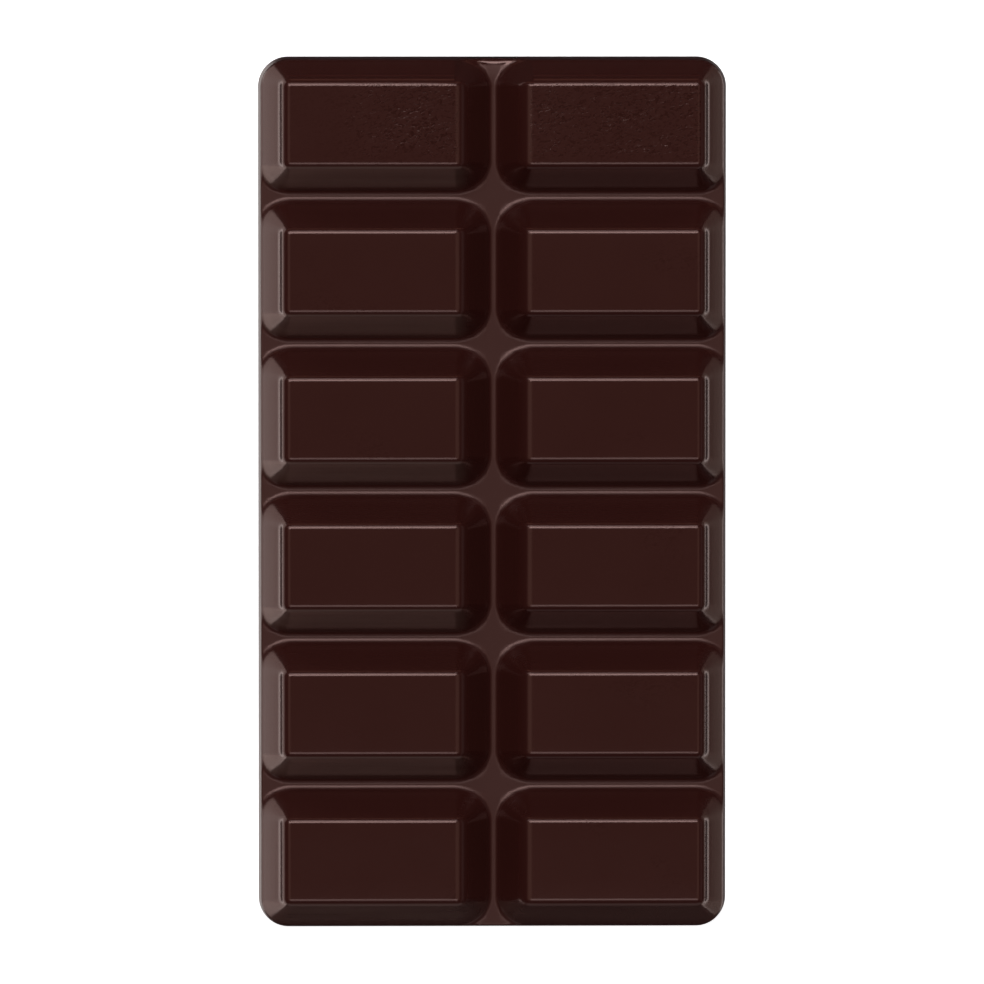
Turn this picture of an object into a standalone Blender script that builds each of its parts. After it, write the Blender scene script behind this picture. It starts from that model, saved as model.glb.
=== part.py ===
"""Mini dark chocolate bar: a thin slab that carries two columns of six raised blocks.

The bar lies on its flat back. Its origin is the middle of the back, with +X across the bar, +Y along it
and +Z up through the blocks. Every size is in metres. Each block is a flat rectangle with sharp corners,
and its sides fall away from it at one slope, so that they turn the corners as parts of cones.
"""

import math

import bmesh
import bpy

MM = 0.001

# The whole bar, measured at its back.
BAR_LENGTH = 90.0 * MM
BAR_WIDTH = 48.3 * MM
BAR_HEIGHT = 6.8 * MM
BAR_CORNER_RADIUS = 3.1 * MM

# The slab under the blocks, up to the floor of the grooves.
SLAB_HEIGHT = 2.9 * MM
WALL_DRAFT = math.radians(5.0)
BACK_EDGE_ROUNDING = 0.15 * MM

# The raised blocks. The slope is that of their sides from the level, and the rows sit a little nearer
# to the +Y end than to the other.
ROWS = 6
COLUMNS = 2
ROW_PITCH = 15.15 * MM
COLUMN_PITCH = 25.0 * MM
ROWS_SHIFT = 0.2 * MM
BLOCK_FLAT_LENGTH = 7.5 * MM
BLOCK_FLAT_WIDTH = 16.8 * MM
BLOCK_SLOPE = math.radians(51.0)
BLOCK_EDGE_RADIUS = 0.9 * MM

# How finely the round stretches are divided.
EDGE_STEPS = 3
BLOCK_CORNER_STEPS = 7
BAR_CORNER_STEPS = 10

BLOCK_RISE = BAR_HEIGHT - SLAB_HEIGHT
SUNK = 0.2 * MM
SPARE = 2.0 * MM

CHOCOLATE = {"colour": (0.022, 0.0075, 0.005, 1.0), "roughness": 0.3}


def clear_scene():
    for old in list(bpy.data.objects):
        bpy.data.objects.remove(old, do_unlink=True)


def collection_named(name):
    collection = bpy.data.collections.new(name)
    bpy.context.scene.collection.children.link(collection)
    return collection


def chocolate():
    material = bpy.data.materials.new("dark_chocolate")
    material.use_nodes = True
    shader = material.node_tree.nodes["Principled BSDF"]
    shader.inputs["Base Color"].default_value = CHOCOLATE["colour"]
    shader.inputs["Roughness"].default_value = CHOCOLATE["roughness"]
    shader.inputs["Metallic"].default_value = 0.0
    return material


def rounded_rectangle(half_width, half_length, radius, height, steps):
    """Points of a level rectangle with round corners. A radius of nothing leaves its four corners."""
    points = []
    for quarter in range(4):
        side_x = 1 if quarter in (0, 3) else -1
        side_y = 1 if quarter in (0, 1) else -1
        for step in range(steps + 1 if radius > 0 else 1):
            angle = math.pi / 2 * (quarter + step / steps)
            x = side_x * (half_width - radius) + radius * math.cos(angle)
            y = side_y * (half_length - radius) + radius * math.sin(angle)
            points.append((x, y, height))
    return points


def solid_around(name, rings, collection):
    """The closed convex solid that a stack of level outlines spans."""
    shape = bmesh.new()
    for ring in rings:
        for point in ring:
            shape.verts.new(point)
    hull = bmesh.ops.convex_hull(shape, input=shape.verts)
    spare = [item for item in hull["geom_interior"] if isinstance(item, bmesh.types.BMVert)]
    bmesh.ops.delete(shape, geom=spare, context="VERTS")
    bmesh.ops.recalc_face_normals(shape, faces=shape.faces)
    mesh = bpy.data.meshes.new(name)
    shape.to_mesh(mesh)
    shape.free()
    solid = bpy.data.objects.new(name, mesh)
    collection.objects.link(solid)
    return solid


def block_profile():
    """(reach, drop) pairs down a block's side: the rounded edge of the flat, then the slope."""
    pairs = []
    for step in range(EDGE_STEPS + 1):
        tilt = BLOCK_SLOPE * step / EDGE_STEPS
        pairs.append((BLOCK_EDGE_RADIUS * math.sin(tilt), BLOCK_EDGE_RADIUS * (1 - math.cos(tilt))))
    foot_drop = BLOCK_RISE + SUNK
    last_reach, last_drop = pairs[-1]
    pairs.append((last_reach + (foot_drop - last_drop) / math.tan(BLOCK_SLOPE), foot_drop))
    return pairs


def block(row, column, collection):
    rings = []
    for reach, drop in block_profile():
        half_width = BLOCK_FLAT_WIDTH / 2 + reach
        half_length = BLOCK_FLAT_LENGTH / 2 + reach
        height = BAR_HEIGHT - drop
        rings.append(rounded_rectangle(half_width, half_length, reach, height, BLOCK_CORNER_STEPS))
    solid = solid_around(f"block_{row + 1}_{column + 1}", rings, collection)
    solid.location.x = (column - (COLUMNS - 1) / 2) * COLUMN_PITCH
    solid.location.y = ((ROWS - 1) / 2 - row) * ROW_PITCH + ROWS_SHIFT
    return solid


def bar_outline(collection):
    """The drafted outline of the whole bar, from its back to the height of the flats."""
    rings = []
    for height, inset in (
        (0.0, BACK_EDGE_ROUNDING),
        (BACK_EDGE_ROUNDING, 0.0),
        (BAR_HEIGHT + SPARE, (BAR_HEIGHT + SPARE) * math.tan(WALL_DRAFT)),
    ):
        half_width = BAR_WIDTH / 2 - inset
        half_length = BAR_LENGTH / 2 - inset
        radius = BAR_CORNER_RADIUS - inset
        rings.append(rounded_rectangle(half_width, half_length, radius, height, BAR_CORNER_STEPS))
    return solid_around("bar_outline", rings, collection)


def slab(collection):
    """An oversized plate up to the floor of the grooves, cut to the bar's outline later."""
    shape = bmesh.new()
    bmesh.ops.create_cube(shape, size=1.0)
    size = (BAR_WIDTH + 2 * SPARE, BAR_LENGTH + 2 * SPARE, SLAB_HEIGHT + SPARE)
    bmesh.ops.scale(shape, vec=size, verts=shape.verts)
    bmesh.ops.translate(shape, vec=(0, 0, (SLAB_HEIGHT - SPARE) / 2), verts=shape.verts)
    mesh = bpy.data.meshes.new("chocolate_bar")
    shape.to_mesh(mesh)
    shape.free()
    plate = bpy.data.objects.new("chocolate_bar", mesh)
    collection.objects.link(plate)
    return plate


def chocolate_bar():
    """One solid: the plate with the twelve blocks joined to it, trimmed to the outline."""
    bar = slab(collection_named("mini_chocolate_bar"))
    cutters = collection_named("cutters")
    blocks = collection_named("raised_blocks")
    for row in range(ROWS):
        for column in range(COLUMNS):
            block(row, column, blocks)
    outline = bar_outline(cutters)
    for helper in [*blocks.objects, outline]:
        helper.hide_render = True
        helper.display_type = "WIRE"

    join = bar.modifiers.new("join_blocks", "BOOLEAN")
    join.operation = "UNION"
    join.operand_type = "COLLECTION"
    join.collection = blocks
    join.solver = "EXACT"

    trim = bar.modifiers.new("trim_to_outline", "BOOLEAN")
    trim.operation = "INTERSECT"
    trim.object = outline
    trim.solver = "EXACT"

    bar.data.materials.append(chocolate())
    return bar


clear_scene()
chocolate_bar()
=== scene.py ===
import math
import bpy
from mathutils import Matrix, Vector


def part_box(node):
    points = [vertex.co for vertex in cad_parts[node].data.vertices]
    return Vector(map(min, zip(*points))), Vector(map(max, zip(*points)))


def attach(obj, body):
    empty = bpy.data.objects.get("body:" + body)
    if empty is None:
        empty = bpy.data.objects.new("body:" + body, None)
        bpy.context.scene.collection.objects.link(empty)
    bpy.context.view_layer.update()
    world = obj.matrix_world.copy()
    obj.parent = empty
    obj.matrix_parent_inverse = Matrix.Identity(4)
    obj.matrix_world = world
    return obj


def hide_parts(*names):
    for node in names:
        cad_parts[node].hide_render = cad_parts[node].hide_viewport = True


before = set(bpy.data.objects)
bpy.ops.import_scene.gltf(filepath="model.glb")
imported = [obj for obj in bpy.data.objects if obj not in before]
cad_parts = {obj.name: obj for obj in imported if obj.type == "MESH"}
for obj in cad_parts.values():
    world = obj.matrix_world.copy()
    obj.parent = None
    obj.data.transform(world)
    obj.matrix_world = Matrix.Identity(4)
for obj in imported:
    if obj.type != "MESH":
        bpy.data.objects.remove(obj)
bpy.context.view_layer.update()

from types import SimpleNamespace

import bmesh
import bpy
from mathutils import Vector

MM = 0.001

# The bar as the frame holds it, with its flat back down and the blocks up.
BAR_LOW, BAR_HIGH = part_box("chocolate_bar")
BAR_WIDTH = BAR_HIGH[0] - BAR_LOW[0]
BAR_LENGTH = BAR_HIGH[1] - BAR_LOW[1]
BAR_HEIGHT = BAR_HIGH[2]

# The slab and the flats of the blocks.
SLAB_HEIGHT = 2.9 * MM
BAR_CORNER_RADIUS = 3.1 * MM
ROWS = 6
COLUMNS = 2
ROW_PITCH = 15.18 * MM
COLUMN_PITCH = 24.98 * MM
ROWS_SHIFT = 0.222 * MM
COLUMNS_SHIFT = 0.075 * MM
FLAT_LENGTH = 7.615 * MM
FLAT_WIDTH = 16.7 * MM

# The blocks' sides. Far is the side to +Y, near to -Y, inner to the long groove, outer to the wall.
FAR_SLOPE = math.radians(51.8)
NEAR_SLOPE = math.radians(55.0)
INNER_SLOPE = math.radians(53.2)
OUTER_SLOPE = math.radians(50.5)
FAR_EDGE_RADIUS = 0.87 * MM
NEAR_EDGE_RADIUS = 1.15 * MM
INNER_EDGE_RADIUS = 1.85 * MM
OUTER_EDGE_RADIUS = 1.0 * MM
SIDE_FOOT_RADIUS = 0.6 * MM
END_FOOT_RADIUS = 0.85 * MM

# The relief of the outer sides, at distances from the flat's edge.
STEP_START = 0.9 * MM
STEP_WIDTH = 0.28 * MM
STEP_DROP = 0.4 * MM
LEDGE_WIDTH = 0.2 * MM
LEDGE_DROP = 0.1 * MM
BULGE_START = 1.38 * MM
BULGE_WIDTH = 1.6 * MM
BULGE_DROP = 0.22 * MM
OUTER_SIDE_POWER = 4.0

# The ripples, the open groove and its rounded lip at the bar's +Y end.
RIPPLE_START = 0.44 * MM
RIPPLE_FADE = 1.2 * MM
RIPPLE_LENGTH = 0.41 * MM
RIPPLE_HEIGHT = 0.04 * MM
RIPPLE_SIDE_POWER = 8.0
BELL_SPREAD = 0.27
BELL_RISE_POWER = 0.75
BELL_FALL_POWER = 16.0
FALL_LENGTH = 2.8 * MM
FALL_DROP = 0.18 * MM
LIP_WIDTH = 0.55 * MM
LIP_DROP = 0.165 * MM
LIP_HALF_SPAN = 2.3 * MM

# The rim, the wall and the whole surface.
WALL_DRAFT = math.radians(5.0)
RIM_ROUNDING = 0.2 * MM
END_RIM_HEIGHT = 3.6 * MM
BACK_EDGE_ROUNDING = 0.2 * MM
UNEVENNESS = 0.02 * MM
UNEVENNESS_GRAINS = 130.0
UNEVENNESS_DETAIL = 1.0
UNEVENNESS_ROUGHNESS = 0.4
SEED = 3.0
TINY = 1e-6

# The top sheet ends where the drafted wall begins, at this distance from the core of the outline.
CORE_HALF_WIDTH = BAR_WIDTH / 2 - BAR_CORNER_RADIUS
CORE_HALF_LENGTH = BAR_LENGTH / 2 - BAR_CORNER_RADIUS
SHEET_MARGIN = BAR_CORNER_RADIUS - SLAB_HEIGHT * math.tan(WALL_DRAFT)

# The blank's lines lie closest where the surface turns: zones from a flat's edge, or back from the
# rim or the groove's middle, and the steps in each.
OUTER_EDGE_ZONE, OUTER_EDGE_STEPS = 1.5 * MM, 27
OUTER_SLOPE_STEPS = 6
RIM_ZONE, RIM_STEPS = 0.6 * MM, 8
INNER_EDGE_ZONE, INNER_EDGE_STEPS = 0.9 * MM, 10
INNER_SLOPE_STEPS = 6
FOOT_ZONE, FOOT_STEPS = 0.7 * MM, 8
FLAT_STEPS = 4
CORNER_STEPS = 28
WALL_SHARES = (0.93, 0.8, 0.6, 0.4, 0.2)
BACK_EDGE_STEPS = 6
PLACE_DIGITS = 7
SAME_PLACE = 1e-7

# Shares of the blank's height between which a line is on the wall, not on the top or the back edge.
WALL_SHARE_LOW, WALL_SHARE_HIGH = 0.1, 0.99

# A height over everything, for a limit that must not hold upwards.
NO_LIMIT = 100.0

# The chocolate.
TOP_ROUGHNESS = 0.2
GROOVE_ROUGHNESS = 0.35
LIP_ROUGHNESS = 0.06
BACK_ROUGHNESS = 0.42
MOTTLED_ROUGHNESS = 0.03
MOTTLED_SHADE = 0.9
DARKER_BROWN = (0.0232, 0.0022, 0.001, 1.0)
LIGHTER_BROWN = (0.0258, 0.0027, 0.0013, 1.0)
# A darker brown painted into the wrinkles' troughs, as painted shade.
PAINTED_TROUGH_SHADE = (0.0155, 0.001, 0.0004, 1.0)
# A paler grey-brown painted on the slopes that face -Y, as a painted sheen standing in for light
# they catch.
PAINTED_SHEEN_COLOUR = (0.58, 0.42, 0.34, 1.0)
PAINTED_SHEEN_SHARE = 0.052
SPECULAR_TINT = (1.0, 0.63, 0.56, 1.0)
COAT_WEIGHT = 0.2
COAT_LOST_IN_TROUGHS = 0.16
COAT_ROUGHNESS = 0.8

# Heights of the marks in the surface, in millimetres from crest to trough.
WRINKLE_HEIGHT = 0.022
LINE_HEIGHT = 0.006
GRAIN_HEIGHT = 0.0012
DENT_HEIGHT = 0.008

# The marks' grains per metre along each axis.
WRINKLE_GRAINS = (1700.0, 3200.0, 1.0)
PATCH_GRAINS = (190.0, 260.0, 1.0)
STRAY_PATCH_GRAINS = (75.0, 130.0, 1.0)
LINE_GRAINS = (45.0, 45.0, 3300.0)
FINE_GRAINS = (4200.0, 4200.0, 4200.0)
DENT_GRAINS = (420.0, 420.0, 420.0)
STREAK_GRAINS = (60.0, 900.0, 900.0)
MOTTLE_GRAINS = (130.0, 130.0, 130.0)
WRINKLE_TURN = math.radians(14.0)
WRINKLE_DISTORTION = 1.6

# Places between which a mark, a gloss or the painted sheen comes in or fades: heights, then places
# across and along the bar, then places along one row from the middle of its flats.
FLAT_HEIGHTS = (BAR_HEIGHT - 0.12 * MM, BAR_HEIGHT - 0.05 * MM)
GLOSS_HEIGHTS = (SLAB_HEIGHT + 0.05 * MM, SLAB_HEIGHT + 0.45 * MM)
PAINTED_SHEEN_HEIGHTS = (SLAB_HEIGHT, SLAB_HEIGHT + 0.3 * MM)
MARKED_HEIGHTS = (0.05 * MM, 0.4 * MM)
BACK_HEIGHTS = (0.02 * MM, 0.1 * MM)
WRINKLES_ACROSS = (-20.0 * MM, -10.0 * MM)
PAINTED_SHEEN_ACROSS = (-4.0 * MM, -2.0 * MM)
LIP_ACROSS = (2.0 * MM, 3.0 * MM)
FIRST_ROW_ALONG = (33.0 * MM, 36.0 * MM)
LAST_ROW_ALONG = (-41.0 * MM, -40.0 * MM)
LIP_ALONG = (BAR_LENGTH / 2 - 1.0 * MM, BAR_LENGTH / 2 - 0.6 * MM)
PAINTED_SHEEN_AT_EDGE = (-FLAT_LENGTH / 2 - 0.7 * MM, -FLAT_LENGTH / 2 - 0.4 * MM)
PAINTED_SHEEN_AT_FOOT = (-ROW_PITCH / 2 + 0.5 * MM, -ROW_PITCH / 2 + 1.6 * MM)

# Noise values between which the patches and the wrinkles' troughs come in or fade.
PATCH_VALUES = (-0.12, 0.1)
STRAY_PATCH_VALUES = (0.05, 0.2)
TROUGH_VALUES = (-0.15, 0.02)

# How strong the marks and the painted sheen are at either end of those stretches.
PATCH_STRENGTHS = (0.65, 1.0)
STRAY_PATCH_STRENGTHS = (0.0, 0.45)
WRINKLE_STRENGTHS = (0.2, 1.0)
LAST_ROW_SHEEN_EAST, LAST_ROW_SHEEN_WEST = 0.35, 0.6

SIDE_LIGHT = (1.0, 0.935, 0.91)
SKY_LIGHT = (0.96, 1.0, 1.05)
WARM_LIGHT = (1.0, 0.62, 0.45)
CREAM_LIGHT = (1.0, 0.84, 0.72)
WORLD_LIGHT = (0.02, 0.02, 0.02, 1.0)

# Light boxes above the floor: name, bearing from +X and elevation in degrees, width and height in
# metres, radiance and colour.
SOFT_BOX_DISTANCE = 1.0
SOFT_BOXES = (
    ("north_high_box", 106, 62, 0.75, 0.3, 7.2, SKY_LIGHT),
    ("north_low_box", 106, 43, 0.9, 0.2, 3.4, SKY_LIGHT),
    ("south_high_box", 270, 66, 0.7, 0.24, 2.7, SKY_LIGHT),
    ("north_rim_box", 90, 8, 1.2, 0.08, 1.2, WARM_LIGHT),
    ("south_low_box", 275, 8, 1.4, 0.5, 0.38, SKY_LIGHT),
    ("east_mid_box", 0, 28, 1.4, 0.4, 0.22, SKY_LIGHT),
    ("west_high_box", 180, 62, 1.0, 0.45, 0.55, CREAM_LIGHT),
    ("east_high_box", 0, 66, 1.0, 0.4, 0.55, CREAM_LIGHT),
    ("overhead_box", 0, 90, 0.55, 0.55, 0.14, WARM_LIGHT),
)

# Long light panels that the steep sides reflect: name, bearing from +X, top and bottom elevation as
# seen from the bar, radiance and colour.
SIDE_CARD_DISTANCE = 1.0
SIDE_CARD_LENGTH = 2.4
SIDE_CARDS = (
    ("west_card", 180, -4, -29, 1.5, SIDE_LIGHT),
    ("west_low_card", 180, -29, -39, 2.9, SIDE_LIGHT),
    ("west_wall_card", 180, -61, -80, 1.2, SIDE_LIGHT),
    ("east_upper_card", 0, -2, -13, 0.08, SIDE_LIGHT),
    ("east_card", 0, -13, -29, 0.4, CREAM_LIGHT),
    ("east_low_card", 0, -29, -39, 2.2, SIDE_LIGHT),
    ("east_wall_card", 0, -58, -80, 0.22, SIDE_LIGHT),
)

FLAG_HALF_SIZE = 30.0 * MM
FLAG_GAP = 1.0 * MM
FLAG_HEIGHT = -0.5 * MM
FLOOR_RADIUS = 6.0
FLOOR_SEGMENTS = 96
FLOOR_HOLE_RADIUS = BAR_CORNER_RADIUS - BACK_EDGE_ROUNDING + 0.01 * MM
FLOOR_HOLE_STEPS = 12
DOME_SEGMENTS, DOME_RINGS = 48, 24
BLACK_BOARD, WHITE_BOARD, NO_SHADE = 0.01, 0.9, 0.0
FLOOR_GLOW, DOME_GLOW = 0.8, 1.0
BOARD_ROUGHNESS = 0.9

SENSOR_WIDTH = 36.0
CAMERA_SPAN = 101.73 * MM
CAMERA_DISTANCE = 1.2
CAMERA_CLIP = (0.05, 20.0)
LEAN_NORTH, LEAN_EAST = math.radians(3.0), math.radians(-1.2)


def feed(tree, node, values):
    """Gives each input of a node a link or a plain value."""
    for socket, value in zip(node.inputs, values):
        if isinstance(value, bpy.types.NodeSocket):
            tree.links.new(value, socket)
        elif value is not None:
            socket.default_value = value


def calc(tree, operation, *values):
    node = tree.nodes.new("ShaderNodeMath")
    node.operation = operation
    feed(tree, node, values)
    return node.outputs[0]


def vector_calc(tree, operation, *values):
    node = tree.nodes.new("ShaderNodeVectorMath")
    node.operation = operation
    feed(tree, node, values)
    return node.outputs["Value" if operation == "LENGTH" else "Vector"]


def split_vector(tree, vector):
    node = tree.nodes.new("ShaderNodeSeparateXYZ")
    tree.links.new(vector, node.inputs[0])
    return node.outputs


def joined_vector(tree, x, y, z):
    node = tree.nodes.new("ShaderNodeCombineXYZ")
    feed(tree, node, (x, y, z))
    return node.outputs[0]


def product(tree, *values):
    result = values[0]
    for value in values[1:]:
        result = calc(tree, "MULTIPLY", result, value)
    return result


def total(tree, *values):
    result = values[0]
    for value in values[1:]:
        result = calc(tree, "ADD", result, value)
    return result


def past(tree, value, start):
    """How far a value is past a start, and nothing before it."""
    return calc(tree, "MAXIMUM", calc(tree, "SUBTRACT", value, start), 0.0)


def blend(tree, share, low, high):
    return calc(tree, "MULTIPLY_ADD", share, calc(tree, "SUBTRACT", high, low), low)


def gone_over(tree, reach, start, width):
    """The share of a stretch that lies behind, from nothing before it to one past it."""
    share = calc(tree, "DIVIDE", calc(tree, "SUBTRACT", reach, start), width)
    return calc(tree, "MINIMUM", calc(tree, "MAXIMUM", share, 0.0), 1.0)


def other_leg(tree, long_side, leg):
    """The second leg of a right triangle, from its longest side and its first leg."""
    long_squared = product(tree, long_side, long_side)
    leg_squared = product(tree, leg, leg)
    return calc(tree, "SQRT", past(tree, long_squared, leg_squared))


def spaced(start, stop, count):
    """Even steps from start to stop, with the start left out."""
    return [start + (stop - start) * (step + 1) / count for step in range(count)]


def outer_stations():
    """Distances from the outline's core out to the rim, close together where the surface turns."""
    rim_zone = SHEET_MARGIN - RIM_ZONE
    stations = spaced(0.0, OUTER_EDGE_ZONE, OUTER_EDGE_STEPS)
    stations += spaced(OUTER_EDGE_ZONE, rim_zone, OUTER_SLOPE_STEPS)
    for step in range(1, RIM_STEPS + 1):
        stations.append(rim_zone + RIM_ZONE * math.sin(math.pi / 2 * step / RIM_STEPS))
    return stations


def inner_stations(half_gap):
    """Distances from a flat's edge to the middle of the groove beside it."""
    foot_zone = half_gap - FOOT_ZONE
    stations = spaced(0.0, INNER_EDGE_ZONE, INNER_EDGE_STEPS)
    stations += spaced(INNER_EDGE_ZONE, foot_zone, INNER_SLOPE_STEPS)
    stations += spaced(foot_zone, half_gap, FOOT_STEPS)
    return stations


def lines_across(flat_size, pitch, count, shift, core_half):
    """Where the sheet's lines cross one axis, gathered about each flat's edges and the rim."""
    reach_in = inner_stations((pitch - flat_size) / 2)
    places = [core_half] + [core_half + reach for reach in outer_stations()]
    places += [-place for place in places]
    for index in range(count):
        centre = (index - (count - 1) / 2) * pitch + shift
        low, high = centre - flat_size / 2, centre + flat_size / 2
        beside = [low] + spaced(low, high, FLAT_STEPS)
        beside += [low - reach for reach in reach_in] + [high + reach for reach in reach_in]
        places += [place for place in beside if abs(place) < core_half]
    return sorted({round(place, PLACE_DIGITS) for place in places})


def blank_sheet(blank):
    """The level top face, with its lines gathered where the mould will bend it."""
    across = lines_across(FLAT_WIDTH, COLUMN_PITCH, COLUMNS, COLUMNS_SHIFT, CORE_HALF_WIDTH)
    along = lines_across(FLAT_LENGTH, ROW_PITCH, ROWS, ROWS_SHIFT, CORE_HALF_LENGTH)
    grid = {}
    for i, x in enumerate(across):
        for j, y in enumerate(along):
            in_core_width = abs(x) <= CORE_HALF_WIDTH + SAME_PLACE
            in_core_length = abs(y) <= CORE_HALF_LENGTH + SAME_PLACE
            if in_core_width or in_core_length:
                grid[i, j] = blank.verts.new((x, y, BAR_HEIGHT))
    for i in range(len(across) - 1):
        for j in range(len(along) - 1):
            corners = [(i, j), (i + 1, j), (i + 1, j + 1), (i, j + 1)]
            if all(corner in grid for corner in corners):
                blank.faces.new([grid[corner] for corner in corners])


def blank_corner(blank, side_x, side_y):
    """A quarter fan that rounds one corner of the bar."""
    centre_x = side_x * CORE_HALF_WIDTH
    centre_y = side_y * CORE_HALF_LENGTH
    middle = blank.verts.new((centre_x, centre_y, BAR_HEIGHT))
    last = None
    for reach in outer_stations():
        ring = []
        for step in range(CORNER_STEPS + 1):
            angle = math.pi / 2 * step / CORNER_STEPS
            x = centre_x + side_x * reach * math.cos(angle)
            y = centre_y + side_y * reach * math.sin(angle)
            ring.append(blank.verts.new((x, y, BAR_HEIGHT)))
        for step in range(CORNER_STEPS):
            face = [ring[step], ring[step + 1]]
            face += [middle] if last is None else [last[step + 1], last[step]]
            blank.faces.new(face)
        last = ring


def moved_to_reach(place, reach):
    """The point straight out from a place on the sheet's edge, so far from the outline's core."""
    core_x = max(-CORE_HALF_WIDTH, min(CORE_HALF_WIDTH, place.x))
    core_y = max(-CORE_HALF_LENGTH, min(CORE_HALF_LENGTH, place.y))
    core = Vector((core_x, core_y))
    return core + (place.xy - core).normalized() * reach


def wall_rows():
    """(reach, share of the local height) for each line down the wall and round the back edge."""
    rows = []
    for share in WALL_SHARES:
        rows.append((SHEET_MARGIN + SLAB_HEIGHT * (1 - share) * math.tan(WALL_DRAFT), share))
    base_reach = BAR_CORNER_RADIUS - BACK_EDGE_ROUNDING
    for step in range(BACK_EDGE_STEPS + 1):
        angle = math.pi / 2 * step / BACK_EDGE_STEPS
        reach = base_reach + BACK_EDGE_ROUNDING * math.cos(angle)
        rows.append((reach, BACK_EDGE_ROUNDING * (1 - math.sin(angle)) / SLAB_HEIGHT))
    return rows


def blank_wall(blank):
    """The wall that hangs from the sheet's edge, and the flat back that closes it."""
    rim = [edge for edge in blank.edges if edge.is_boundary]
    for reach, share in wall_rows():
        made = bmesh.ops.extrude_edge_only(blank, edges=rim)["geom"]
        edges = [item for item in made if isinstance(item, bmesh.types.BMEdge)]
        rim = [edge for edge in edges if edge.is_boundary]
        for vert in {vert for edge in rim for vert in edge.verts}:
            vert.co.xy = moved_to_reach(vert.co, reach)
            vert.co.z = BAR_HEIGHT * share
    bmesh.ops.contextual_create(blank, geom=rim)


def bar_blank():
    """A plain plate with the bar's outline, ready to take the mould's relief."""
    blank = bmesh.new()
    blank_sheet(blank)
    for side_x in (-1, 1):
        for side_y in (-1, 1):
            blank_corner(blank, side_x, side_y)
    bmesh.ops.remove_doubles(blank, verts=blank.verts, dist=TINY)
    blank_wall(blank)
    bmesh.ops.recalc_face_normals(blank, faces=blank.faces)
    mesh = bpy.data.meshes.new("bar_blank")
    blank.to_mesh(mesh)
    blank.free()
    mesh.shade_smooth()
    return mesh


MOULD_INPUTS = {
    "Bar Height": BAR_HEIGHT,
    "Slab Height": SLAB_HEIGHT,
    "Column Pitch": COLUMN_PITCH,
    "Row Pitch": ROW_PITCH,
    "Rows Shift": ROWS_SHIFT,
    "Columns Shift": COLUMNS_SHIFT,
    "Last Row": (ROWS / 2 - 1) * ROW_PITCH + ROWS_SHIFT,
    "Flat Width": FLAT_WIDTH,
    "Flat Length": FLAT_LENGTH,
    "Far Slope": FAR_SLOPE,
    "Near Slope": NEAR_SLOPE,
    "Inner Slope": INNER_SLOPE,
    "Outer Slope": OUTER_SLOPE,
    "Far Edge Radius": FAR_EDGE_RADIUS,
    "Near Edge Radius": NEAR_EDGE_RADIUS,
    "Inner Edge Radius": INNER_EDGE_RADIUS,
    "Outer Edge Radius": OUTER_EDGE_RADIUS,
    "Side Foot Radius": SIDE_FOOT_RADIUS,
    "End Foot Radius": END_FOOT_RADIUS,
    "Step Start": STEP_START,
    "Step Width": STEP_WIDTH,
    "Step Drop": STEP_DROP,
    "Ledge Width": LEDGE_WIDTH,
    "Ledge Drop": LEDGE_DROP,
    "Bulge Start": BULGE_START,
    "Bulge Width": BULGE_WIDTH,
    "Bulge Drop": BULGE_DROP,
    "Ripple Start": RIPPLE_START,
    "Ripple Fade": RIPPLE_FADE,
    "Ripple Length": RIPPLE_LENGTH,
    "Ripple Height": RIPPLE_HEIGHT,
    "Core Half Width": CORE_HALF_WIDTH,
    "Core Half Length": CORE_HALF_LENGTH,
    "Sheet Margin": SHEET_MARGIN,
    "Bell Spread": BELL_SPREAD,
    "Rim Rounding": RIM_ROUNDING,
    "Fall Length": FALL_LENGTH,
    "Fall Drop": FALL_DROP,
    "Lip Width": LIP_WIDTH,
    "Lip Drop": LIP_DROP,
    "Lip Half Span": LIP_HALF_SPAN,
    "End Rim Height": END_RIM_HEIGHT,
    "Back Edge Rounding": BACK_EDGE_ROUNDING,
    "Wall Spread": BAR_CORNER_RADIUS - SHEET_MARGIN,
    "Unevenness": UNEVENNESS,
    "Seed": SEED,
}


def spot_by_flat(tree, inlet, x, y):
    """Where a point lies by the nearest flat: how far off, and how far round which corner."""
    half_column = calc(tree, "MULTIPLY", inlet["Column Pitch"], 0.5)
    half_row = calc(tree, "MULTIPLY", inlet["Row Pitch"], 0.5)
    half_width = calc(tree, "MULTIPLY", inlet["Flat Width"], 0.5)
    half_length = calc(tree, "MULTIPLY", inlet["Flat Length"], 0.5)
    from_middle = calc(tree, "ABSOLUTE", calc(tree, "SUBTRACT", x, inlet["Columns Shift"]))
    from_column = calc(tree, "SUBTRACT", from_middle, half_column)
    to_low_row = calc(tree, "MULTIPLY", half_row, -1.0)
    from_first_row = calc(tree, "SUBTRACT", y, calc(tree, "ADD", half_row, inlet["Rows Shift"]))
    from_row = calc(tree, "WRAP", from_first_row, half_row, to_low_row)
    beside = past(tree, calc(tree, "ABSOLUTE", from_column), half_width)
    beyond = past(tree, calc(tree, "ABSOLUTE", from_row), half_length)
    beside_squared = product(tree, beside, beside)
    reach_squared = total(tree, beside_squared, product(tree, beyond, beyond))
    not_nothing = calc(tree, "MAXIMUM", reach_squared, TINY**2)
    beside_share = calc(tree, "DIVIDE", beside_squared, not_nothing)
    last_row_middle = calc(tree, "ADD", inlet["Last Row"], half_row)
    return SimpleNamespace(
        reach=calc(tree, "SQRT", reach_squared),
        from_middle=from_middle,
        outward=calc(tree, "GREATER_THAN", from_column, 0.0),
        on_far_side=calc(tree, "GREATER_THAN", from_row, 0.0),
        at_end=calc(tree, "GREATER_THAN", y, last_row_middle),
        beside_share=beside_share,
        beyond_share=past(tree, 1.0, beside_share),
    )


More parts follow.
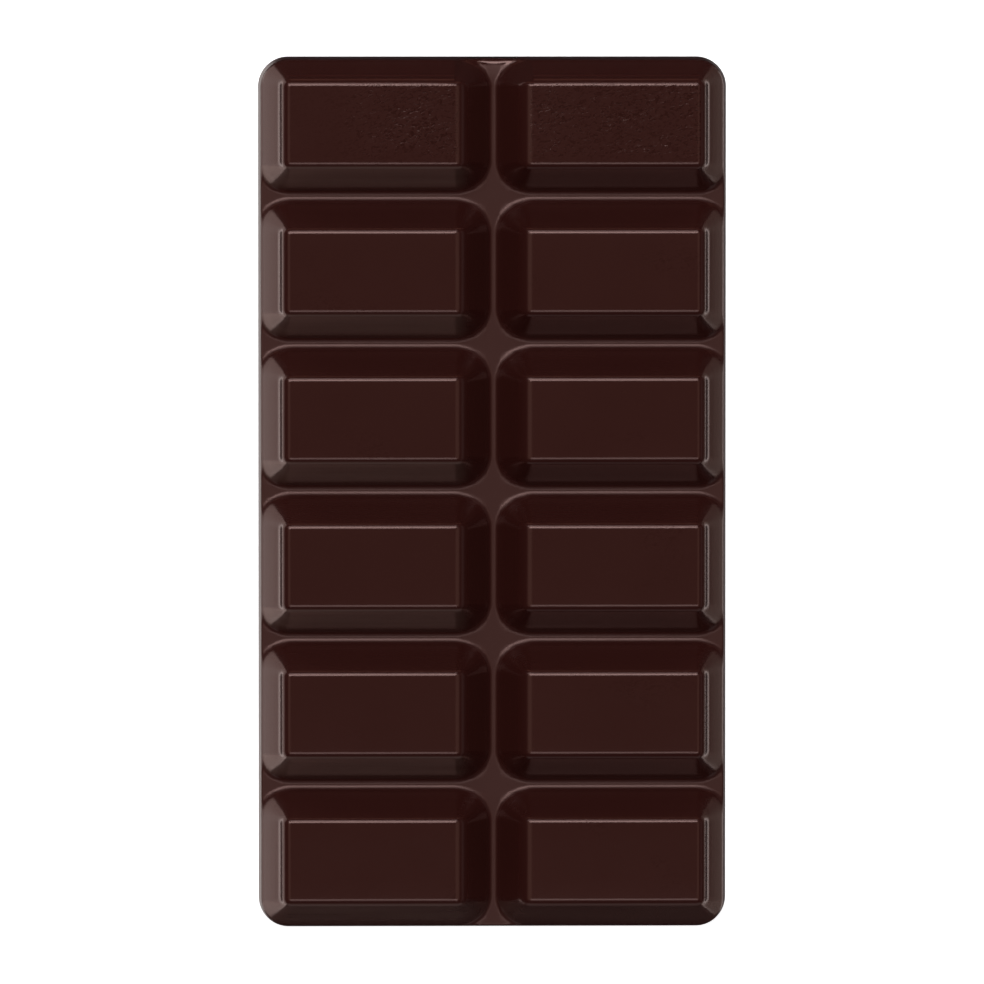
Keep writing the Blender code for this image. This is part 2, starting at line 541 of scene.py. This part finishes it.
def reach_in_bell(tree, inlet, spot):
    """The reach, made larger at the long groove's +Y end, which opens there like a bell."""
    rise = calc(tree, "POWER", spot.beyond_share, BELL_RISE_POWER)
    fall = calc(tree, "SUBTRACT", 1.0, calc(tree, "POWER", spot.beyond_share, BELL_FALL_POWER))
    inward = calc(tree, "SUBTRACT", 1.0, spot.outward)
    tightness = product(tree, rise, fall, spot.at_end, inward)
    tightness = calc(tree, "MULTIPLY_ADD", tightness, inlet["Bell Spread"], 1.0)
    return calc(tree, "MULTIPLY", spot.reach, tightness)


def outer_relief(tree, inlet, spot):
    """The drop of the outer sides' step, ledge and bulge so far, and that of all three."""
    ledge_start = calc(tree, "ADD", inlet["Step Start"], inlet["Step Width"])
    on_step = gone_over(tree, spot.reach, inlet["Step Start"], inlet["Step Width"])
    on_ledge = gone_over(tree, spot.reach, ledge_start, inlet["Ledge Width"])
    on_bulge = gone_over(tree, spot.reach, inlet["Bulge Start"], inlet["Bulge Width"])
    step = product(tree, on_step, inlet["Step Drop"])
    ledge = product(tree, on_ledge, inlet["Ledge Drop"])
    bulge = product(tree, on_bulge, on_bulge, inlet["Bulge Drop"])
    outer_share = product(tree, spot.outward, spot.beside_share)
    on_outer_side = calc(tree, "POWER", outer_share, OUTER_SIDE_POWER)
    whole = total(tree, inlet["Step Drop"], inlet["Ledge Drop"], inlet["Bulge Drop"])
    so_far = total(tree, step, ledge, bulge)
    return product(tree, so_far, on_outer_side), product(tree, whole, on_outer_side)


def end_ripples(tree, inlet, spot):
    """The drop of the faint ripples that follow the flats' edge at the bar's +Y end."""
    past_start = calc(tree, "SUBTRACT", spot.reach, inlet["Ripple Start"])
    turns = calc(tree, "DIVIDE", past_start, inlet["Ripple Length"])
    wave = calc(tree, "SUBTRACT", 1.0, calc(tree, "COSINE", product(tree, turns, math.tau)))
    left = past(tree, 1.0, calc(tree, "DIVIDE", past_start, inlet["Ripple Fade"]))
    started = calc(tree, "GREATER_THAN", past_start, 0.0)
    on_end_side = calc(tree, "POWER", spot.beyond_share, RIPPLE_SIDE_POWER)
    return product(tree, wave, left, started, inlet["Ripple Height"], spot.at_end, on_end_side)


def side_drop(tree, inlet, spot):
    """Down a block's side: an arc over the edge, a straight slope, and a hollow arc at the foot.

    The edge's radius and the slope go from one side's to the next side's as they turn a corner.
    """
    side_radius = blend(tree, spot.outward, inlet["Inner Edge Radius"], inlet["Outer Edge Radius"])
    end_radius = blend(tree, spot.on_far_side, inlet["Near Edge Radius"], inlet["Far Edge Radius"])
    edge_radius = blend(tree, spot.beside_share, end_radius, side_radius)
    side_slope = blend(tree, spot.outward, inlet["Inner Slope"], inlet["Outer Slope"])
    end_slope = blend(tree, spot.on_far_side, inlet["Near Slope"], inlet["Far Slope"])
    slope = blend(tree, spot.beside_share, end_slope, side_slope)
    end_foot, side_foot = inlet["End Foot Radius"], inlet["Side Foot Radius"]
    foot_radius = blend(tree, spot.beside_share, end_foot, side_foot)

    relief, whole_relief = outer_relief(tree, inlet, spot)
    cosine = calc(tree, "COSINE", slope)
    steepness = calc(tree, "TANGENT", slope)
    depth = calc(tree, "SUBTRACT", inlet["Bar Height"], inlet["Slab Height"])
    both_radii = calc(tree, "ADD", edge_radius, foot_radius)
    both_arcs = product(tree, both_radii, calc(tree, "SUBTRACT", 1.0, cosine))
    slope_height = calc(tree, "SUBTRACT", depth, total(tree, both_arcs, whole_relief))
    slope_run = calc(tree, "DIVIDE", slope_height, steepness)
    edge_run = product(tree, edge_radius, calc(tree, "SINE", slope))
    foot_run = product(tree, foot_radius, calc(tree, "SINE", slope))

    over_edge = calc(tree, "MINIMUM", spot.reach, edge_run)
    edge_drop = calc(tree, "SUBTRACT", edge_radius, other_leg(tree, edge_radius, over_edge))
    over_slope = calc(tree, "MINIMUM", past(tree, spot.reach, edge_run), slope_run)
    slope_drop = product(tree, over_slope, steepness)
    whole_run = total(tree, edge_run, slope_run, foot_run)
    to_floor = calc(tree, "MINIMUM", past(tree, whole_run, spot.reach), foot_run)
    foot_start = product(tree, foot_radius, cosine)
    foot_drop = calc(tree, "SUBTRACT", other_leg(tree, foot_radius, to_floor), foot_start)
    return total(tree, edge_drop, slope_drop, foot_drop, relief)


def rim_drop(tree, inlet, spot, from_rim):
    """The rim's rounding, and the long groove's floor that falls and rounds off at the +Y end."""
    radius = inlet["Rim Rounding"]
    over_rim = calc(tree, "SUBTRACT", radius, calc(tree, "MINIMUM", from_rim, radius))
    rounding = calc(tree, "SUBTRACT", radius, other_leg(tree, radius, over_rim))

    sideways = calc(tree, "DIVIDE", spot.from_middle, inlet["Lip Half Span"])
    in_lip = product(tree, past(tree, 1.0, product(tree, sideways, sideways)), spot.at_end)
    lip_width = calc(tree, "MAXIMUM", product(tree, in_lip, inlet["Lip Width"]), TINY)
    over_lip = past(tree, 1.0, calc(tree, "DIVIDE", from_rim, lip_width))
    lip = calc(tree, "SUBTRACT", 1.0, other_leg(tree, 1.0, over_lip))
    falling = past(tree, 1.0, calc(tree, "DIVIDE", from_rim, inlet["Fall Length"]))
    lip_drop = product(tree, lip, in_lip, inlet["Lip Drop"])
    fall_drop = product(tree, falling, falling, in_lip, inlet["Fall Drop"])
    return total(tree, rounding, lip_drop, fall_drop)


def wall_offset(tree, inlet, past_core, core_distance, share, new_height):
    """How far the wall's lines move, to keep one draft on each side whatever the edge's height."""
    northward = calc(tree, "MAXIMUM", core_distance, TINY)
    northward = calc(tree, "DIVIDE", split_vector(tree, past_core)[1], northward)
    northward = calc(tree, "MAXIMUM", northward, 0.0)
    to_north = product(tree, northward, northward)
    rim_height = blend(tree, to_north, inlet["Slab Height"], inlet["End Rim Height"])
    wall_height = calc(tree, "SUBTRACT", rim_height, inlet["Back Edge Rounding"])
    lean = calc(tree, "DIVIDE", inlet["Wall Spread"], wall_height)
    below_rim = past(tree, rim_height, new_height)
    wall_reach = calc(tree, "MULTIPLY_ADD", below_rim, lean, inlet["Sheet Margin"])
    under_top = calc(tree, "LESS_THAN", share, WALL_SHARE_HIGH)
    over_back = calc(tree, "GREATER_THAN", share, WALL_SHARE_LOW)
    shift = calc(tree, "SUBTRACT", calc(tree, "DIVIDE", wall_reach, core_distance), 1.0)
    shift = product(tree, shift, over_back, under_top)
    return vector_calc(tree, "SCALE", past_core, None, None, shift)


def mould_tree(material):
    """Presses the blocks and grooves of the mould into a blank."""
    tree = bpy.data.node_groups.new("chocolate_mould", "GeometryNodeTree")
    interface = tree.interface
    interface.new_socket(name="Blank", in_out="INPUT", socket_type="NodeSocketGeometry")
    interface.new_socket(name="Bar", in_out="OUTPUT", socket_type="NodeSocketGeometry")
    for name in MOULD_INPUTS:
        interface.new_socket(name=name, in_out="INPUT", socket_type="NodeSocketFloat")
    inlet = tree.nodes.new("NodeGroupInput").outputs
    outlet = tree.nodes.new("NodeGroupOutput").inputs
    place = tree.nodes.new("GeometryNodeInputPosition").outputs[0]
    x, y, z = split_vector(tree, place)

    # The core has no limit upwards, so that heights stay out of the distance past it.
    core = joined_vector(tree, inlet["Core Half Width"], inlet["Core Half Length"], NO_LIMIT)
    low_core = vector_calc(tree, "MULTIPLY", core, (-1.0, -1.0, -1.0))
    in_core = vector_calc(tree, "MINIMUM", place, core)
    in_core = vector_calc(tree, "MAXIMUM", in_core, low_core)
    past_core = vector_calc(tree, "SUBTRACT", place, in_core)
    core_distance = vector_calc(tree, "LENGTH", past_core)
    from_rim = past(tree, inlet["Sheet Margin"], core_distance)

    spot = spot_by_flat(tree, inlet, x, y)
    spot.reach = reach_in_bell(tree, inlet, spot)
    noise = tree.nodes.new("ShaderNodeTexNoise")
    noise.noise_dimensions = "4D"
    texture = (UNEVENNESS_GRAINS, UNEVENNESS_DETAIL, UNEVENNESS_ROUGHNESS)
    feed(tree, noise, (place, inlet["Seed"], *texture))
    drop = total(
        tree,
        side_drop(tree, inlet, spot),
        rim_drop(tree, inlet, spot, from_rim),
        product(tree, noise.outputs[0], inlet["Unevenness"]),
        end_ripples(tree, inlet, spot),
    )
    share = calc(tree, "DIVIDE", z, inlet["Bar Height"])
    new_height = product(tree, share, calc(tree, "SUBTRACT", inlet["Bar Height"], drop))
    pressed = joined_vector(tree, x, y, new_height)
    offset = wall_offset(tree, inlet, past_core, core_distance, share, new_height)
    pressed = vector_calc(tree, "ADD", pressed, offset)

    press = tree.nodes.new("GeometryNodeSetPosition")
    tree.links.new(inlet["Blank"], press.inputs["Geometry"])
    tree.links.new(pressed, press.inputs["Position"])
    realize = tree.nodes.new("GeometryNodeRealizeInstances")
    tree.links.new(press.outputs[0], realize.inputs[0])
    finish = tree.nodes.new("GeometryNodeSetMaterial")
    finish.inputs["Material"].default_value = material
    tree.links.new(realize.outputs[0], finish.inputs["Geometry"])
    tree.links.new(finish.outputs[0], outlet["Bar"])
    return tree


def moulded_bar(material):
    """The whole bar as one plain mesh, pressed from its blank."""
    blank = bpy.data.objects.new("bar_blank", bar_blank())
    bpy.context.scene.collection.objects.link(blank)
    tree = mould_tree(material)
    press = blank.modifiers.new("mould", "NODES")
    press.node_group = tree
    for item in tree.interface.items_tree:
        if item.item_type == "SOCKET" and item.name in MOULD_INPUTS:
            press[item.identifier] = MOULD_INPUTS[item.name]
    seen = blank.evaluated_get(bpy.context.evaluated_depsgraph_get())
    mesh = bpy.data.meshes.new_from_object(seen)
    mesh.name = "dark_chocolate_bar"
    blank.modifiers.clear()
    bpy.data.objects.remove(blank, do_unlink=True)
    bar = bpy.data.objects.new("dark_chocolate_bar", mesh)
    bpy.context.scene.collection.objects.link(bar)
    return bar


def mapped(tree, value, limits, results):
    """Eases from one result to another as a value goes between two limits."""
    ease = tree.nodes.new("ShaderNodeMapRange")
    ease.interpolation_type = "SMOOTHSTEP"
    feed(tree, ease, (value, *limits, *results))
    return ease.outputs[0]


def noise_at(tree, place, grains, detail=2.0, turn=0.0, distortion=0.0):
    """A noise about nothing, with its own number of grains per metre along each axis."""
    mapping = tree.nodes.new("ShaderNodeMapping")
    mapping.vector_type = "TEXTURE"
    mapping.inputs["Rotation"].default_value = (0.0, 0.0, turn)
    mapping.inputs["Scale"].default_value = [1.0 / count for count in grains]
    tree.links.new(place, mapping.inputs["Vector"])
    noise = tree.nodes.new("ShaderNodeTexNoise")
    noise.inputs["Scale"].default_value = 1.0
    noise.inputs["Detail"].default_value = detail
    noise.inputs["Distortion"].default_value = distortion
    tree.links.new(mapping.outputs[0], noise.inputs["Vector"])
    return calc(tree, "SUBTRACT", noise.outputs[0], 0.5)


def wrinkle_mask(group, place, x, y, z):
    """How wrinkled the flats are: the first row in patches, the others in a few faint ones."""
    on_flat = mapped(group, z, FLAT_HEIGHTS, (0.0, 1.0))
    on_first_row = mapped(group, y, FIRST_ROW_ALONG, (0.0, 1.0))
    patches = noise_at(group, place, PATCH_GRAINS)
    patches = mapped(group, patches, PATCH_VALUES, PATCH_STRENGTHS)
    eastward = mapped(group, x, WRINKLES_ACROSS, WRINKLE_STRENGTHS)
    stray_patches = noise_at(group, place, STRAY_PATCH_GRAINS)
    stray_patches = mapped(group, stray_patches, STRAY_PATCH_VALUES, STRAY_PATCH_STRENGTHS)
    first_row_patches = product(group, on_first_row, patches, eastward)
    return product(group, calc(group, "MAXIMUM", first_row_patches, stray_patches), on_flat)


def painted_sheen_mask(group, place, x, y, z):
    """Where a painted sheen makes the slopes that face -Y paler: the western column, and less so
    both last blocks.
    """
    half_row = ROW_PITCH / 2
    from_first_row = calc(group, "SUBTRACT", y, half_row + ROWS_SHIFT)
    from_row = calc(group, "WRAP", from_first_row, half_row, -half_row)
    under_edge = mapped(group, from_row, PAINTED_SHEEN_AT_EDGE, (1.0, 0.0))
    over_foot = mapped(group, from_row, PAINTED_SHEEN_AT_FOOT, (0.0, 1.0))
    above_slab = mapped(group, z, PAINTED_SHEEN_HEIGHTS, (0.0, 1.0))
    to_west = mapped(group, x, PAINTED_SHEEN_ACROSS, (1.0, 0.0))
    on_last_row = mapped(group, y, LAST_ROW_ALONG, (1.0, 0.0))
    last_row_sheen = blend(group, to_west, LAST_ROW_SHEEN_EAST, LAST_ROW_SHEEN_WEST)
    spread = blend(group, on_last_row, to_west, last_row_sheen)
    streaks = calc(group, "ADD", noise_at(group, place, STREAK_GRAINS), 1.0)
    return product(group, under_edge, over_foot, spread, above_slab, streaks)


def marks_and_painted_light():
    """A shared group with the marks that the mould leaves, for the bump, colours and gloss, and
    with the masks for the painted shade in the wrinkles' troughs and the painted sheen on the
    slopes that face -Y.
    """
    group = bpy.data.node_groups.new("marks_and_painted_light", "ShaderNodeTree")
    interface = group.interface
    interface.new_socket(name="Place", in_out="INPUT", socket_type="NodeSocketVector")
    for name in ("Height", "Troughs", "Mottle", "Painted Sheen"):
        interface.new_socket(name=name, in_out="OUTPUT", socket_type="NodeSocketFloat")
    place = group.nodes.new("NodeGroupInput").outputs[0]
    outlet = group.nodes.new("NodeGroupOutput").inputs
    x, y, z = split_vector(group, place)

    wrinkled = wrinkle_mask(group, place, x, y, z)
    wrinkles = noise_at(group, place, WRINKLE_GRAINS, 1.0, WRINKLE_TURN, WRINKLE_DISTORTION)
    # Where the wrinkles dip: these troughs get a painted shade of darker brown, and lose some coat.
    troughs = product(group, mapped(group, wrinkles, TROUGH_VALUES, (1.0, 0.0)), wrinkled)
    height = total(
        group,
        product(group, wrinkles, wrinkled, WRINKLE_HEIGHT),
        product(group, noise_at(group, place, LINE_GRAINS), LINE_HEIGHT),
        product(group, noise_at(group, place, FINE_GRAINS, 3.0), GRAIN_HEIGHT),
        product(group, noise_at(group, place, DENT_GRAINS), DENT_HEIGHT),
    )
    above_back = mapped(group, z, MARKED_HEIGHTS, (0.0, 1.0))
    group.links.new(product(group, height, above_back), outlet["Height"])
    group.links.new(troughs, outlet["Troughs"])
    group.links.new(noise_at(group, place, MOTTLE_GRAINS, 4.0), outlet["Mottle"])
    # The mask of the painted sheen on the slopes that face -Y.
    group.links.new(painted_sheen_mask(group, place, x, y, z), outlet["Painted Sheen"])
    return group


def mixed_colour(tree, share, low, high):
    mix = tree.nodes.new("ShaderNodeMix")
    mix.data_type = "RGBA"
    sockets = {socket.identifier: socket for socket in mix.inputs}
    for identifier, value in (("Factor_Float", share), ("A_Color", low), ("B_Color", high)):
        if isinstance(value, bpy.types.NodeSocket):
            tree.links.new(value, sockets[identifier])
        else:
            sockets[identifier].default_value = value
    return next(socket for socket in mix.outputs if socket.identifier == "Result_Color")


def chocolate_roughness(tree, place, mottle):
    """Glossy flats and sides, duller grooves and back, and a polished lip where the groove ends."""
    x, y, height = split_vector(tree, place)
    gloss = mapped(tree, height, GLOSS_HEIGHTS, (GROOVE_ROUGHNESS, TOP_ROUGHNESS))
    at_end = mapped(tree, y, LIP_ALONG, (0.0, GROOVE_ROUGHNESS - LIP_ROUGHNESS))
    in_groove = mapped(tree, calc(tree, "ABSOLUTE", x), LIP_ACROSS, (1.0, 0.0))
    gloss = calc(tree, "SUBTRACT", gloss, product(tree, at_end, in_groove))
    gloss = calc(tree, "MULTIPLY_ADD", mottle, MOTTLED_ROUGHNESS, gloss)
    on_back = mapped(tree, height, BACK_HEIGHTS, (BACK_ROUGHNESS - TOP_ROUGHNESS, 0.0))
    return calc(tree, "ADD", gloss, on_back)


def dark_chocolate():
    material = bpy.data.materials.new("dark_chocolate")
    material.use_nodes = True
    tree = material.node_tree
    shader = tree.nodes["Principled BSDF"]
    place = tree.nodes.new("ShaderNodeTexCoord").outputs["Object"]
    marks = tree.nodes.new("ShaderNodeGroup")
    marks.node_tree = marks_and_painted_light()
    tree.links.new(place, marks.inputs["Place"])
    mottle, troughs = marks.outputs["Mottle"], marks.outputs["Troughs"]

    shade = calc(tree, "MULTIPLY_ADD", mottle, MOTTLED_SHADE, 0.5)
    colour = mixed_colour(tree, shade, DARKER_BROWN, LIGHTER_BROWN)
    # Painted shade: the wrinkles' troughs are mixed towards a darker brown.
    colour = mixed_colour(tree, troughs, colour, PAINTED_TROUGH_SHADE)
    # Painted sheen: the slopes that face -Y are mixed towards a paler colour.
    painted_sheen = product(tree, marks.outputs["Painted Sheen"], PAINTED_SHEEN_SHARE)
    colour = mixed_colour(tree, painted_sheen, colour, PAINTED_SHEEN_COLOUR)
    tree.links.new(colour, shader.inputs["Base Color"])
    tree.links.new(chocolate_roughness(tree, place, mottle), shader.inputs["Roughness"])
    shader.inputs["Specular Tint"].default_value = SPECULAR_TINT
    coat = calc(tree, "MULTIPLY_ADD", troughs, -COAT_LOST_IN_TROUGHS, COAT_WEIGHT)
    tree.links.new(coat, shader.inputs["Coat Weight"])
    shader.inputs["Coat Roughness"].default_value = COAT_ROUGHNESS

    bump = tree.nodes.new("ShaderNodeBump")
    bump.inputs["Strength"].default_value = 1.0
    bump.inputs["Distance"].default_value = MM
    tree.links.new(marks.outputs["Height"], bump.inputs["Height"])
    tree.links.new(bump.outputs[0], shader.inputs["Normal"])
    return material


def soft_box(name, bearing, elevation, width, height, radiance, colour, distance):
    """A rectangular studio light that faces the bar. Angles are in degrees, sizes in metres."""
    light = bpy.data.lights.new(name, "AREA")
    light.shape = "RECTANGLE"
    light.size = width
    light.size_y = height
    light.energy = radiance * math.pi * width * height
    light.color = colour
    lamp = bpy.data.objects.new(name, light)
    bpy.context.scene.collection.objects.link(lamp)
    turn, rise = math.radians(bearing), math.radians(elevation)
    level = math.cos(rise)
    away = Vector((math.cos(turn) * level, math.sin(turn) * level, math.sin(rise)))
    lamp.location = away * distance
    lamp.rotation_euler = away.to_track_quat("Z", "Y").to_euler()
    lamp.visible_camera = False


def side_card(name, bearing, top, bottom, radiance, colour):
    """A long light panel beside the bar, between two elevations in degrees as seen from it."""
    middle = (top + bottom) / 2
    distance = SIDE_CARD_DISTANCE / math.cos(math.radians(middle))
    height = 2 * distance * math.tan(math.radians((top - bottom) / 2))
    soft_box(name, bearing, middle, SIDE_CARD_LENGTH, height, radiance, colour, distance)


def board_material(name, shade, glow=0.0):
    """A plain matt grey that may also glow in white."""
    material = bpy.data.materials.new(name)
    material.use_nodes = True
    shader = material.node_tree.nodes["Principled BSDF"]
    shader.inputs["Base Color"].default_value = (shade, shade, shade, 1.0)
    shader.inputs["Roughness"].default_value = BOARD_ROUGHNESS
    shader.inputs["Emission Color"].default_value = (1.0, 1.0, 1.0, 1.0)
    shader.inputs["Emission Strength"].default_value = glow
    return material


def board_object(name, board, material):
    mesh = bpy.data.meshes.new(name)
    board.to_mesh(mesh)
    board.free()
    mesh.materials.append(material)
    piece = bpy.data.objects.new(name, mesh)
    bpy.context.scene.collection.objects.link(piece)
    return piece


def dark_flag(name, side):
    """A black board past one end of the bar, which keeps the side cards off that end."""
    board = bmesh.new()
    bmesh.ops.create_grid(board, x_segments=1, y_segments=1, size=FLAG_HALF_SIZE)
    material = board_material("black_board", BLACK_BOARD)
    shader = material.node_tree.nodes["Principled BSDF"]
    shader.inputs["Specular IOR Level"].default_value = 0.0
    flag = board_object(name, board, material)
    flag.location = (0.0, side * (BAR_LENGTH / 2 + FLAG_GAP + FLAG_HALF_SIZE), FLAG_HEIGHT)
    flag.visible_camera = False


def studio():
    world = bpy.data.worlds.new("studio")
    bpy.context.scene.world = world
    world.use_nodes = True
    world.node_tree.nodes["Background"].inputs["Color"].default_value = WORLD_LIGHT
    for box in SOFT_BOXES:
        soft_box(*box, SOFT_BOX_DISTANCE)
    for card in SIDE_CARDS:
        side_card(*card)
    dark_flag("north_flag", 1)
    dark_flag("south_flag", -1)


def outline_of_back(board):
    """Points and edges just round the flat of the bar's back."""
    points = []
    for quarter in range(4):
        side_x = 1 if quarter in (0, 3) else -1
        side_y = 1 if quarter in (0, 1) else -1
        for step in range(FLOOR_HOLE_STEPS + 1):
            angle = math.pi / 2 * (quarter + step / FLOOR_HOLE_STEPS)
            x = side_x * CORE_HALF_WIDTH + FLOOR_HOLE_RADIUS * math.cos(angle)
            y = side_y * CORE_HALF_LENGTH + FLOOR_HOLE_RADIUS * math.sin(angle)
            points.append(board.verts.new((x, y, 0.0)))
    for first, second in zip(points, points[1:] + points[:1]):
        board.edges.new((first, second))


def pale_floor():
    """A white board, cut out under the bar's flat back so that the two never lie in one plane."""
    board = bmesh.new()
    bmesh.ops.create_circle(board, segments=FLOOR_SEGMENTS, radius=FLOOR_RADIUS)
    outline_of_back(board)
    bmesh.ops.triangle_fill(board, use_beauty=True, edges=board.edges)
    floor = board_object("floor", board, board_material("white_board", WHITE_BOARD, FLOOR_GLOW))
    floor.visible_glossy = False
    floor.visible_shadow = False


def pale_backdrop():
    """A white dome round the floor, which only the camera sees, for views from the side."""
    dome = bmesh.new()
    segments, rings = DOME_SEGMENTS, DOME_RINGS
    bmesh.ops.create_uvsphere(dome, u_segments=segments, v_segments=rings, radius=FLOOR_RADIUS)
    backdrop = board_object("backdrop", dome, board_material("white_dome", NO_SHADE, DOME_GLOW))
    backdrop.visible_diffuse = False
    backdrop.visible_glossy = False
    backdrop.visible_transmission = False
    backdrop.visible_shadow = False


def overhead_camera():
    """Straight above the bar on a long lens, leaning a little to its +Y end."""
    data = bpy.data.cameras.new("camera")
    data.sensor_width = SENSOR_WIDTH
    data.lens = SENSOR_WIDTH * CAMERA_DISTANCE / CAMERA_SPAN
    data.clip_start, data.clip_end = CAMERA_CLIP
    camera = bpy.data.objects.new("camera", data)
    bpy.context.scene.collection.objects.link(camera)
    north, east = math.sin(LEAN_NORTH), math.sin(LEAN_EAST)
    camera.location = Vector((east, north, 1.0)).normalized() * CAMERA_DISTANCE
    camera.rotation_euler = (-math.atan(north), math.atan(east), 0.0)
    bpy.context.scene.camera = camera


bpy.context.scene.view_settings.view_transform = "Standard"

bar = moulded_bar(dark_chocolate())
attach(bar, "root")
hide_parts("chocolate_bar")

pale_floor()
pale_backdrop()
studio()
overhead_camera()
